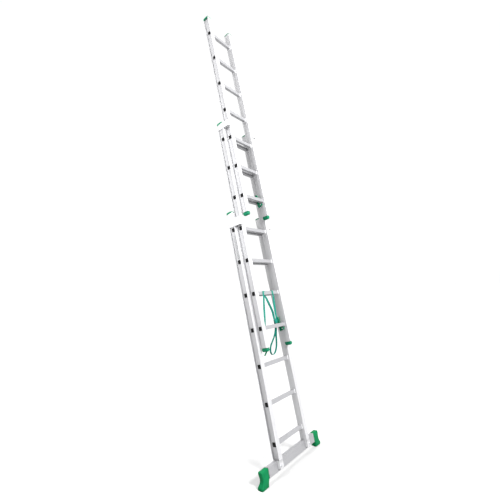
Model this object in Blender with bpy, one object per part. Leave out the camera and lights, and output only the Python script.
"""Three-section extension ladder, leaning at its working angle, sections extended.

Metres, +Z up, +Y towards the wall, +X to the climber's right along the rungs.
The origin is on the floor midway between the two boots. Every piece is drawn in
the ladder's own frame: x along the rungs, s up along the stiles and n out
towards the climber, with s = n = 0 on the lowest rung of the base section.
"""
import math

import bmesh
import bpy
from mathutils import Vector

# overall layout
LEAN = math.radians(76.1)
RUNG_PITCH = 0.280
RUNG_COUNT = 7
SECTION_STEP = 0.0595
LOWEST_RUNG_Y = 0.030
LOWEST_RUNG_Z = 0.215

# each section: outside width, height of its lowest rung, distance towards the climber
SECTIONS = {
    "base": (0.456, 0.0, 0.0),
    "middle": (0.402, 3 * RUNG_PITCH, SECTION_STEP),
    "upper": (0.348, 7 * RUNG_PITCH, 2 * SECTION_STEP),
}

# stile: a hollow box on the inside with two flanges pointing outwards
STILE_DEPTH = 0.058
STILE_WIDTH = 0.045
FLANGE_OUT = 0.0145
STILE_WALL = 0.0025
STILE_LIP = 0.005
STILE_BELOW = 0.150
STILE_ABOVE = {"base": 0.150, "middle": 0.150, "upper": 0.165}
BASE_STILE_BELOW = 0.160

# rung: square hollow tube with open ends
RUNG_TALL = 0.030
RUNG_DEEP = 0.027
RUNG_WALL = 0.002
RUNG_PROUD = 0.0015
FIT_GAP = 0.0004

# plastic ends of the stiles
END_GAP = 0.0004
CAP_RIM = 0.003
CAP_DOME = 0.010
PLUG_TALL = 0.030
FOOT_TALL = 0.030
FOOT_ROUND = 0.012

# stabiliser bar across the bottom, and the bracket between it and each stile's front wall
BAR_TOP = -0.105
BAR_BOTTOM = -0.175
BAR_BACK = -0.029
BAR_FRONT = 0.0050
BAR_HALF = 0.338
BAR_WALL = 0.003
NOTCH_TOP = -0.1035
BRACKET_WALL = 0.003
BOLT_X = 0.2125
BOLT_RADIUS = 0.003
BOLT_HEAD = (0.006, 0.003)

# boots on the ends of the bar
BOOT_OUT = 0.437
BOOT_PLUG = 0.050
SOLE_IN = 0.352
SOLE_OUT = 0.449
SOLE_HALF_Y = 0.027

# guide blocks: lower and upper edges above the section's lowest rung
GUIDE_SPANS = {"base": (1.705, 1.772), "middle": (1.775, 1.826)}
GUIDE_PLAY = 0.0015
GUIDE_WALL = 0.004
GUIDE_HOOK = 0.0035
HOOK_ENDS = {"base": 0.1765, "middle": 0.150}

# rung locks, drawn about the rung that they reach over
LOCK_PIVOT = (0.050, -0.034)
LOCK_THICK = 0.014
LOCK_GAP = 0.0035
LOCK_PIN_RADIUS = 0.004
LOCK_OUTLINE = [
    (0.0285, -0.012),
    (0.0285, 0.058),
    (0.021, 0.072),
    (0.000, 0.062),
    (-0.005, 0.042),
    (-0.003, 0.0168),
    (0.0168, 0.0168),
    (0.0168, -0.040),
    (0.020, -0.056),
    (0.034, -0.049),
    (0.050, -0.0465),
    (0.0595, -0.0420),
    (0.0620, -0.0340),
    (0.0595, -0.0260),
    (0.0520, -0.0215),
    (0.0400, -0.0195),
]

# safety straps
STRAP_WIDE = 0.025
STRAP_THICK = 0.0022

COLOURS = {
    "aluminium": (0.78, 0.79, 0.80, 1.0),
    "steel": (0.55, 0.56, 0.58, 1.0),
    "green plastic": (0.02, 0.36, 0.20, 1.0),
    "teal webbing": (0.01, 0.38, 0.28, 1.0),
}
METALS = ("aluminium", "steel")


def to_world(point):
    """A point (x, s, n) of the ladder's frame in the world."""
    x, s, n = point
    y = LOWEST_RUNG_Y + s * math.cos(LEAN) - n * math.sin(LEAN)
    z = LOWEST_RUNG_Z + s * math.sin(LEAN) + n * math.cos(LEAN)
    return Vector((x, y, z))


def material(name):
    found = bpy.data.materials.get(name)
    if found:
        return found
    made = bpy.data.materials.new(name)
    made.use_nodes = True
    shader = made.node_tree.nodes["Principled BSDF"]
    shader.inputs["Base Color"].default_value = COLOURS[name]
    shader.inputs["Metallic"].default_value = 1.0 if name in METALS else 0.0
    shader.inputs["Roughness"].default_value = 0.35 if name in METALS else 0.55
    return made


def new_object(name, mesh_maker, stuff, origin=None):
    """An object from a filled bmesh in ladder coordinates, with its origin at a world point."""
    bm = bmesh.new()
    mesh_maker(bm)
    bmesh.ops.remove_doubles(bm, verts=bm.verts, dist=1e-6)
    for v in bm.verts:
        v.co = to_world(v.co)
    bmesh.ops.recalc_face_normals(bm, faces=bm.faces)
    at = Vector(origin) if origin else sum((v.co for v in bm.verts), Vector()) / len(bm.verts)
    for v in bm.verts:
        v.co -= at
    mesh = bpy.data.meshes.new(name)
    bm.to_mesh(mesh)
    bm.free()
    thing = bpy.data.objects.new(name, mesh)
    bpy.context.scene.collection.objects.link(thing)
    thing.location = at
    if stuff:
        mesh.materials.append(material(stuff))
    return thing


def add_box(bm, low, high):
    """A box between two (x, s, n) corners."""
    corners = []
    for x in (low[0], high[0]):
        for s in (low[1], high[1]):
            for n in (low[2], high[2]):
                corners.append(bm.verts.new((x, s, n)))
    for a, b, c, d in ((0, 1, 3, 2), (4, 6, 7, 5), (0, 4, 5, 1), (2, 3, 7, 6), (0, 2, 6, 4), (1, 5, 7, 3)):
        bm.faces.new((corners[a], corners[b], corners[c], corners[d]))


def add_prism(bm, outline, start, end, plane):
    """An outline pushed between two places. plane names the axis it is pushed along."""
    rings = []
    for level in (start, end):
        ring = []
        for p, q in outline:
            if plane == "s":
                ring.append(bm.verts.new((p, level, q)))
            elif plane == "x":
                ring.append(bm.verts.new((level, q, p)))
            else:
                ring.append(bm.verts.new((p, q, level)))
        rings.append(ring)
    count = len(outline)
    for i in range(count):
        k = (i + 1) % count
        bm.faces.new((rings[0][i], rings[0][k], rings[1][k], rings[1][i]))
    bm.faces.new(rings[0])
    bm.faces.new(list(reversed(rings[1])))


def add_tube(bm, outer, inner, start, end, plane):
    """A hollow prism open at both ends, from two outlines with the same number of points."""
    rings = []
    for level in (start, end):
        for outline in (outer, inner):
            ring = []
            for p, q in outline:
                if plane == "x":
                    ring.append(bm.verts.new((level, q, p)))
                else:
                    ring.append(bm.verts.new((p, level, q)))
            rings.append(ring)
    count = len(outer)
    for i in range(count):
        k = (i + 1) % count
        bm.faces.new((rings[0][i], rings[0][k], rings[2][k], rings[2][i]))
        bm.faces.new((rings[1][k], rings[1][i], rings[3][i], rings[3][k]))
        bm.faces.new((rings[0][k], rings[0][i], rings[1][i], rings[1][k]))
        bm.faces.new((rings[2][i], rings[2][k], rings[3][k], rings[3][i]))


def rounded(half_p, half_q, radius, steps=3, centre=(0.0, 0.0)):
    """A rectangle with round corners as a list of points."""
    points = []
    for turn, (sp, sq) in enumerate(((1, 1), (-1, 1), (-1, -1), (1, -1))):
        for i in range(steps + 1):
            angle = math.pi / 2 * (turn + i / steps)
            p = centre[0] + sp * (half_p - radius) + radius * math.cos(angle)
            q = centre[1] + sq * (half_q - radius) + radius * math.sin(angle)
            points.append((p, q))
    return points


def circle(radius, count=24, centre=(0.0, 0.0)):
    points = []
    for i in range(count):
        angle = 2 * math.pi * i / count
        points.append((centre[0] + radius * math.cos(angle), centre[1] + radius * math.sin(angle)))
    return points


def boolean(thing, cutter_maker, operation="DIFFERENCE"):
    """Cuts or joins a shape drawn in ladder coordinates, and keeps the result in the mesh."""
    cutter = new_object("cutter", cutter_maker, None)
    step = thing.modifiers.new("cut", "BOOLEAN")
    step.operation = operation
    step.solver = "EXACT"
    step.object = cutter
    bpy.context.view_layer.update()
    seen = bpy.context.evaluated_depsgraph_get()
    result = bpy.data.meshes.new_from_object(thing.evaluated_get(seen))
    old = thing.data
    thing.modifiers.clear()
    thing.data = result
    result.name = thing.name
    bpy.data.meshes.remove(old)
    spare = cutter.data
    bpy.data.objects.remove(cutter)
    bpy.data.meshes.remove(spare)


def stile_edges(section, side_name):
    """Sign of the side, then distances from the middle: outer edge, web and inner wall."""
    side = 1 if side_name == "right" else -1
    outside = SECTIONS[section][0] / 2
    return side, outside, outside - FLANGE_OUT, outside - STILE_WIDTH


def stile_outline(section, side_name):
    """The outside of the extrusion seen from above: (x, n) points."""
    side, outside, web, inner = stile_edges(section, side_name)
    n_centre = SECTIONS[section][2]
    half = STILE_DEPTH / 2
    flange = half - STILE_WALL
    lip = half - STILE_LIP
    shape = [
        (inner, -half),
        (outside, -half),
        (outside, -lip),
        (outside - STILE_WALL, -lip),
        (outside - STILE_WALL, -flange),
        (web, -flange),
        (web, flange),
        (outside - STILE_WALL, flange),
        (outside - STILE_WALL, lip),
        (outside, lip),
        (outside, half),
        (inner, half),
    ]
    return [(side * x, n_centre + n) for x, n in shape]


def span(side, a, b):
    """Two distances from the middle as low and high x on one side."""
    return sorted((side * a, side * b))


def make_stile(section, side_name):
    _, lowest, n0 = SECTIONS[section]
    side, outside, web, inner = stile_edges(section, side_name)
    below = BASE_STILE_BELOW if section == "base" else STILE_BELOW
    low = lowest - below
    high = lowest + (RUNG_COUNT - 1) * RUNG_PITCH + STILE_ABOVE[section]
    outline = stile_outline(section, side_name)
    stile = new_object(
        f"{section}_{side_name}_stile",
        lambda bm: add_prism(bm, outline, low, high, "s"),
        "aluminium",
    )

    def hollow(bm):
        ends = span(side, inner + STILE_WALL, web - STILE_WALL)
        half = STILE_DEPTH / 2 - STILE_WALL
        add_box(bm, (ends[0], low - 0.010, n0 - half), (ends[1], high + 0.010, n0 + half))

    boolean(stile, hollow)

    hole_tall = RUNG_TALL / 2 + FIT_GAP
    hole_deep = RUNG_DEEP / 2 + FIT_GAP
    through = span(side, inner - 0.004, web + 0.004)

    def holes(bm):
        for i in range(RUNG_COUNT):
            s = lowest + i * RUNG_PITCH
            add_box(
                bm,
                (through[0], s - hole_tall, n0 - hole_deep),
                (through[1], s + hole_tall, n0 + hole_deep),
            )
        if section == "base":
            ends = span(side, inner - 0.004, outside + 0.004)
            front_wall = STILE_DEPTH / 2 - STILE_WALL + 0.0001
            add_box(bm, (ends[0], low - 0.010, -0.040), (ends[1], NOTCH_TOP, front_wall))
        elif side_name == "right":
            u, v = LOCK_PIVOT
            hole = circle(LOCK_PIN_RADIUS + FIT_GAP, 16, (n0 - SECTION_STEP + u, lowest + v))
            add_prism(bm, hole, inner - 0.004, web + 0.004, "x")

    boolean(stile, holes)
    if section == "base":
        hole = circle(BOLT_RADIUS + FIT_GAP, 16, (side * BOLT_X, (BAR_TOP + BAR_BOTTOM) / 2))
        boolean(stile, lambda bm: add_prism(bm, hole, 0.020, 0.036, "n"))
    return stile


def make_rung(section, index):
    width, lowest, n0 = SECTIONS[section]
    s = lowest + index * RUNG_PITCH
    reach = width / 2 - FLANGE_OUT + RUNG_PROUD
    outer = rounded(RUNG_DEEP / 2, RUNG_TALL / 2, 0.003, 3, (n0, s))
    inner = rounded(RUNG_DEEP / 2 - RUNG_WALL, RUNG_TALL / 2 - RUNG_WALL, 0.0015, 3, (n0, s))
    return new_object(
        f"{section}_rung_{index + 1}",
        lambda bm: add_tube(bm, outer, inner, -reach, reach, "x"),
        "aluminium",
    )


def end_plug(piece, section, side_name, at, way):
    """Adds the tongue that fills the stile's hollow to a cap or a foot."""
    n0 = SECTIONS[section][2]
    side, _, web, inner = stile_edges(section, side_name)
    gap = STILE_WALL + FIT_GAP

    def tongue(bm):
        xs = span(side, inner + gap, web - gap)
        half = STILE_DEPTH / 2 - gap
        levels = sorted((at + way * 0.0015, at - way * PLUG_TALL))
        add_box(bm, (xs[0], levels[0], n0 - half), (xs[1], levels[1], n0 + half))

    boolean(piece, tongue, "UNION")


def make_cap(section, side_name):
    """A thin cap with an arched top and a plug."""
    _, lowest, n0 = SECTIONS[section]
    side, _, web, inner = stile_edges(section, side_name)
    at = lowest + (RUNG_COUNT - 1) * RUNG_PITCH + STILE_ABOVE[section]
    half = STILE_DEPTH / 2
    outline = [(n0 - half, at + END_GAP), (n0 + half, at + END_GAP)]
    for i in range(13):
        turn = i / 12
        arch = CAP_RIM + CAP_DOME * math.sin(math.pi * turn)
        outline.append((n0 + half * math.cos(math.pi * turn), at + arch))
    ends = span(side, inner, web)
    cap = new_object(
        f"{section}_{side_name}_top_cap",
        lambda bm: add_prism(bm, outline, ends[0], ends[1], "x"),
        "green plastic",
    )
    end_plug(cap, section, side_name, at, 1)
    return cap


def make_foot(section, side_name):
    """A shoe with a rounded underside and a plug."""
    _, lowest, n0 = SECTIONS[section]
    side, _, web, inner = stile_edges(section, side_name)
    at = lowest - STILE_BELOW
    half = STILE_DEPTH / 2
    centre = at - FOOT_TALL + FOOT_ROUND
    outline = [(n0 + half, at - END_GAP), (n0 - half, at - END_GAP)]
    for corner, start in ((-1, 180), (1, 270)):
        for i in range(7):
            angle = math.radians(start + 90 * i / 6)
            n = n0 + corner * (half - FOOT_ROUND) + FOOT_ROUND * math.cos(angle)
            outline.append((n, centre + FOOT_ROUND * math.sin(angle)))
    ends = span(side, inner, web)
    foot = new_object(
        f"{section}_{side_name}_foot",
        lambda bm: add_prism(bm, outline, ends[0], ends[1], "x"),
        "green plastic",
    )
    end_plug(foot, section, side_name, at, -1)
    return foot


def make_guide(section, side_name):
    """A hollow block on the front wall with a hook over the next section's front wall."""
    side, outside, _, _ = stile_edges(section, side_name)
    _, lowest, n0 = SECTIONS[section]
    follower = "middle" if section == "base" else "upper"
    follower_width, _, follower_n = SECTIONS[follower]
    back = n0 + STILE_DEPTH / 2 + 0.0005
    front = follower_n + STILE_DEPTH / 2 + 0.0010
    wall = follower_width / 2 + GUIDE_PLAY
    edge = outside - 0.002
    shape = [
        (edge, back),
        (edge, front + GUIDE_HOOK),
        (HOOK_ENDS[section], front + GUIDE_HOOK),
        (HOOK_ENDS[section], front),
        (wall, front),
        (wall, back),
    ]
    low, high = (lowest + level for level in GUIDE_SPANS[section])
    outline = [(side * x, n) for x, n in shape]
    guide = new_object(
        f"{section}_{side_name}_guide",
        lambda bm: add_prism(bm, outline, low, high, "s"),
        "aluminium",
    )
    centre = (side * (edge + wall) / 2, (back + front) / 2)
    half_x = (edge - wall) / 2 - GUIDE_WALL
    half_n = (front - back) / 2 - GUIDE_WALL
    hole = rounded(half_x, half_n, 0.004, 4, centre)
    boolean(guide, lambda bm: add_prism(bm, hole, low - 0.004, high + 0.004, "s"))
    return guide


def lock_frame(section):
    """The rung level, the distance of the rung behind, the lock's two faces and the stile's two walls."""
    _, lowest, n0 = SECTIONS[section]
    _, _, web, inner = stile_edges(section, "right")
    outer = inner - LOCK_GAP
    return lowest, n0 - SECTION_STEP, outer - LOCK_THICK, outer, inner, web


def make_lock(section):
    lowest, behind, x_in, x_out, _, _ = lock_frame(section)
    u, v = LOCK_PIVOT
    pivot = to_world((0.0, lowest + v, behind + u))
    outline = [(behind + p, lowest + q) for p, q in LOCK_OUTLINE]
    lock = new_object(
        f"{section}_rung_lock",
        lambda bm: add_prism(bm, outline, x_in, x_out, "x"),
        "green plastic",
        origin=(x_in + LOCK_THICK / 2, pivot.y, pivot.z),
    )
    hole = circle(LOCK_PIN_RADIUS + FIT_GAP, 24, (behind + u, lowest + v))
    boolean(lock, lambda bm: add_prism(bm, hole, x_in - 0.004, x_out + 0.004, "x"))
    return lock


def make_lock_pin(section):
    """A headed pin through the stile's two walls, with a spacer washer and an end head."""
    lowest, behind, x_in, x_out, inner, web = lock_frame(section)
    u, v = LOCK_PIVOT
    centre = (behind + u, lowest + v)
    stops = [
        (x_in - 0.0030, 0.0065),
        (x_in - 0.0005, LOCK_PIN_RADIUS),
        (x_out + 0.0005, 0.0065),
        (inner - 0.0005, LOCK_PIN_RADIUS),
        (web + 0.0005, 0.0065),
        (web + 0.0030, 0.0),
    ]

    def turned(bm):
        rings = []
        count = 24
        for (x, radius), (x_next, _) in zip(stops[:-1], stops[1:]):
            for level in (x, x_next):
                ring = []
                for n, s in circle(radius, count, centre):
                    ring.append(bm.verts.new((level, s, n)))
                rings.append(ring)
        for a, b in zip(rings[:-1], rings[1:]):
            for i in range(count):
                k = (i + 1) % count
                bm.faces.new((a[i], a[k], b[k], b[i]))
        bm.faces.new(rings[0])
        bm.faces.new(list(reversed(rings[-1])))

    return new_object(f"{section}_lock_pin", turned, "steel")


def make_bar():
    middle = ((BAR_BACK + BAR_FRONT) / 2, (BAR_TOP + BAR_BOTTOM) / 2)
    half_n = (BAR_FRONT - BAR_BACK) / 2
    half_s = (BAR_TOP - BAR_BOTTOM) / 2
    outer = rounded(half_n, half_s, 0.003, 3, middle)
    inner = rounded(half_n - BAR_WALL, half_s - BAR_WALL, 0.001, 3, middle)
    bar = new_object(
        "stabiliser_bar",
        lambda bm: add_tube(bm, outer, inner, -BAR_HALF, BAR_HALF, "x"),
        "aluminium",
    )

    def holes(bm):
        for side in (-1, 1):
            hole = circle(BOLT_RADIUS + FIT_GAP, 16, (side * BOLT_X, middle[1]))
            add_prism(bm, hole, BAR_FRONT - BAR_WALL - 0.003, BAR_FRONT + 0.003, "n")

    boolean(bar, holes)
    return bar


def make_bar_bracket(side_name):
    """A channel that fills the space between the bar and the stile's front wall."""
    side, outside, _, inner = stile_edges("base", side_name)
    back = BAR_FRONT + 0.0004
    front = STILE_DEPTH / 2 - STILE_WALL - END_GAP
    t = BRACKET_WALL
    shape = [
        (inner, back),
        (inner, front),
        (outside, front),
        (outside, back),
        (outside - t, back),
        (outside - t, front - t),
        (inner + t, front - t),
        (inner + t, back),
    ]
    outline = [(side * x, n) for x, n in shape]
    bracket = new_object(
        f"{side_name}_bar_bracket",
        lambda bm: add_prism(bm, outline, -BASE_STILE_BELOW, NOTCH_TOP - END_GAP, "s"),
        "aluminium",
    )
    hole = circle(BOLT_RADIUS + FIT_GAP, 16, (side * BOLT_X, (BAR_TOP + BAR_BOTTOM) / 2))
    boolean(bracket, lambda bm: add_prism(bm, hole, front - t - 0.002, front + 0.002, "n"))
    return bracket


def make_bar_bolt(side_name):
    side = 1 if side_name == "right" else -1
    centre = (side * BOLT_X, (BAR_TOP + BAR_BOTTOM) / 2)
    half = STILE_DEPTH / 2
    head_radius, head_tall = BOLT_HEAD

    def bolt(bm):
        rings = []
        count = 12
        stops = [
            (BAR_FRONT - BAR_WALL - 0.003, BOLT_RADIUS),
            (half + END_GAP, BOLT_RADIUS),
            (half + END_GAP, head_radius),
            (half + head_tall, head_radius * 0.7),
        ]
        for n, radius in stops:
            rings.append([bm.verts.new((x, s, n)) for x, s in circle(radius, count, centre)])
        for a, b in zip(rings[:-1], rings[1:]):
            for i in range(count):
                k = (i + 1) % count
                bm.faces.new((a[i], a[k], b[k], b[i]))
        bm.faces.new(rings[0])
        bm.faces.new(list(reversed(rings[-1])))

    return new_object(f"{side_name}_bar_bolt", bolt, "steel")


def from_world(x, y, z):
    """The (x, s, n) of a world point."""
    dy = y - LOWEST_RUNG_Y
    dz = z - LOWEST_RUNG_Z
    return (
        x,
        dy * math.cos(LEAN) + dz * math.sin(LEAN),
        -dy * math.sin(LEAN) + dz * math.cos(LEAN),
    )


def make_boot(side_name):
    """A moulded end: a block over the bar's end, spreading to a flat sole, and a plug inside the tube."""
    side = 1 if side_name == "right" else -1
    top = BAR_TOP + 0.006
    bottom = BAR_BOTTOM - 0.006
    back = BAR_BACK - 0.004
    front = BAR_FRONT + 0.006

    def body(bm):
        points = []
        for x in (BAR_HALF + 0.0005, BOOT_OUT - 0.004):
            for s in (top, bottom):
                for n in (back, front):
                    points.append((side * x, s, n))
        for s in (top - 0.006, bottom):
            for n in (back + 0.006, front - 0.006):
                points.append((side * BOOT_OUT, s, n))
        for x in (SOLE_IN, SOLE_OUT):
            for y in (-SOLE_HALF_Y, SOLE_HALF_Y):
                for z in (0.0, 0.012):
                    points.append(from_world(side * x, y, z))
        for p in points:
            bm.verts.new(p)
        bmesh.ops.convex_hull(bm, input=bm.verts)

    boot = new_object(f"{side_name}_boot", body, "green plastic")

    # the bar's own room, so that the hull keeps clear of the tube's end
    def room(bm):
        ends = sorted((side * (BAR_HALF - 0.020), side * (BAR_HALF + 0.0005)))
        add_box(bm, (ends[0], BAR_BOTTOM - 0.0005, -0.060), (ends[1], 0.0, 0.060))

    boolean(boot, room)

    def plug(bm):
        ends = sorted((side * (BAR_HALF - BOOT_PLUG), side * (BAR_HALF + 0.004)))
        gap = BAR_WALL + 0.0006
        add_box(
            bm,
            (ends[0], BAR_BOTTOM + gap, BAR_BACK + gap),
            (ends[1], BAR_TOP - gap, BAR_FRONT - gap),
        )

    boolean(boot, plug, "UNION")
    return boot


def ribbon(bm, path, wide, thick):
    """A flat band along a path of (x, s, n) points, wide along the direction across the path.

    Each path entry is (point, across), where across is the band's width direction there.
    """
    points = [Vector(p) for p, _ in path]
    rings = []
    for i, (point, across) in enumerate(path):
        here = points[i]
        before = points[max(i - 1, 0)]
        after = points[min(i + 1, len(points) - 1)]
        along = (after - before).normalized()
        side = Vector(across)
        side = (side - along * side.dot(along)).normalized()
        out = along.cross(side).normalized()
        # a bend keeps the band's thickness
        first = (here - before).normalized() if i else along
        last = (after - here).normalized() if i < len(points) - 1 else along
        stretch = 1.0 / max(0.5, math.sqrt(max(0.0, (1 + first.dot(last)) / 2)))
        ring = []
        for a, b in ((-1, -1), (1, -1), (1, 1), (-1, 1)):
            where = here + side * (a * wide / 2) + out * (b * thick / 2 * stretch)
            ring.append(bm.verts.new(where))
        rings.append(ring)
    for a, b in zip(rings[:-1], rings[1:]):
        for i in range(4):
            k = (i + 1) % 4
            bm.faces.new((a[i], a[k], b[k], b[i]))
    bm.faces.new(rings[0])
    bm.faces.new(list(reversed(rings[-1])))


def around_rung(x, s, n, start, end, steps=8, grow=0.0):
    """Points round a rung from one angle to another, clear of its corners. 0 is towards the climber."""
    half_n = RUNG_DEEP / 2 + 0.0034 + grow
    half_s = RUNG_TALL / 2 + 0.0034 + grow
    points = []
    for i in range(steps + 1):
        angle = math.radians(start + (end - start) * i / steps)
        c, d = math.cos(angle), math.sin(angle)
        power = 0.35
        p = half_n * math.copysign(abs(c) ** power, c)
        q = half_s * math.copysign(abs(d) ** power, d)
        points.append((x, s + q, n + p))
    return points


def make_left_strap():
    """From behind the lowest rung up over the next rung, then down at a slant to the knot."""
    _, lowest, n0 = SECTIONS["middle"]
    high = lowest + RUNG_PITCH
    across = (1, 0, 0)
    behind = n0 - RUNG_DEEP / 2 - 0.0050
    path = [
        ((-0.092, lowest - 0.040, behind - 0.0050), across),
        ((-0.091, lowest + 0.020, behind), across),
        ((-0.086, lowest + 0.080, behind + 0.0090), across),
        ((-0.078, high - 0.060, n0 + 0.0090), across),
    ]
    over = around_rung(-0.076, high, n0, -30, 190, 22)
    for i, (x, s, n) in enumerate(over):
        drift = 0.056 * (i / (len(over) - 1)) ** 1.5
        path.append(((x + drift, s, n), across))
    path.append(((0.004, high - 0.040, n0 - 0.0185), (1, 0.35, 0)))
    path.append(((0.040, high - 0.115, n0 - 0.0190), (1, 0.35, 0)))
    path.append(((0.068, lowest + 0.060, behind - 0.0030), (1, 0.2, 0)))
    path.append(((0.071, lowest + 0.030, behind - 0.0035), across))
    return new_object(
        "left_safety_strap",
        lambda bm: ribbon(bm, path, STRAP_WIDE, STRAP_THICK),
        "teal webbing",
    )


def make_right_strap():
    """Hooked over the upper of the two rungs, then down behind the lowest rung to the knot."""
    _, lowest, n0 = SECTIONS["middle"]
    high = lowest + RUNG_PITCH
    across = (1, 0, 0)
    behind = n0 - RUNG_DEEP / 2 - 0.0050
    path = []
    for point in around_rung(0.062, high, n0, 215, -30, 24):
        path.append((point, across))
    path.append(((0.068, high - 0.060, n0 + 0.0090), across))
    path.append(((0.085, lowest + 0.090, behind + 0.0090), across))
    path.append(((0.094, lowest + 0.030, behind + 0.0010), across))
    return new_object(
        "right_safety_strap",
        lambda bm: ribbon(bm, path, STRAP_WIDE, STRAP_THICK),
        "teal webbing",
    )


def make_strap_loop():
    """The spare length, hanging in a drop below the lowest rung with its flat to the inside."""
    _, lowest, n0 = SECTIONS["middle"]
    edge_on = (0, 0, 1)
    hang = math.cos(LEAN) / math.sin(LEAN)
    top = n0 - RUNG_DEEP / 2 - 0.0180
    drops = [
        (0.074, 0.024),
        (0.071, -0.012),
        (0.062, -0.055),
        (0.043, -0.092),
        (0.014, -0.128),
        (-0.007, -0.162),
        (-0.008, -0.196),
        (0.010, -0.222),
        (0.034, -0.228),
        (0.060, -0.214),
        (0.076, -0.186),
        (0.082, -0.152),
        (0.080, -0.112),
        (0.076, -0.070),
        (0.077, -0.020),
        (0.080, 0.024),
    ]
    path = []
    for x, s in drops:
        n = top + min(0.0, s + 0.020) * hang
        path.append(((x, lowest + s, n), edge_on))
    return new_object(
        "strap_loop",
        lambda bm: ribbon(bm, path, STRAP_WIDE * 0.86, STRAP_THICK * 0.8),
        "teal webbing",
    )


def start_empty():
    for thing in list(bpy.data.objects):
        bpy.data.objects.remove(thing)


def build():
    start_empty()
    for section in SECTIONS:
        for side_name in ("left", "right"):
            make_stile(section, side_name)
            make_cap(section, side_name)
            if section != "base":
                make_foot(section, side_name)
            if section != "upper":
                make_guide(section, side_name)
        for index in range(RUNG_COUNT):
            make_rung(section, index)
        if section != "base":
            make_lock(section)
            make_lock_pin(section)
    make_bar()
    for side_name in ("left", "right"):
        make_bar_bracket(side_name)
        make_bar_bolt(side_name)
        make_boot(side_name)
    make_left_strap()
    make_right_strap()
    make_strap_loop()


build()
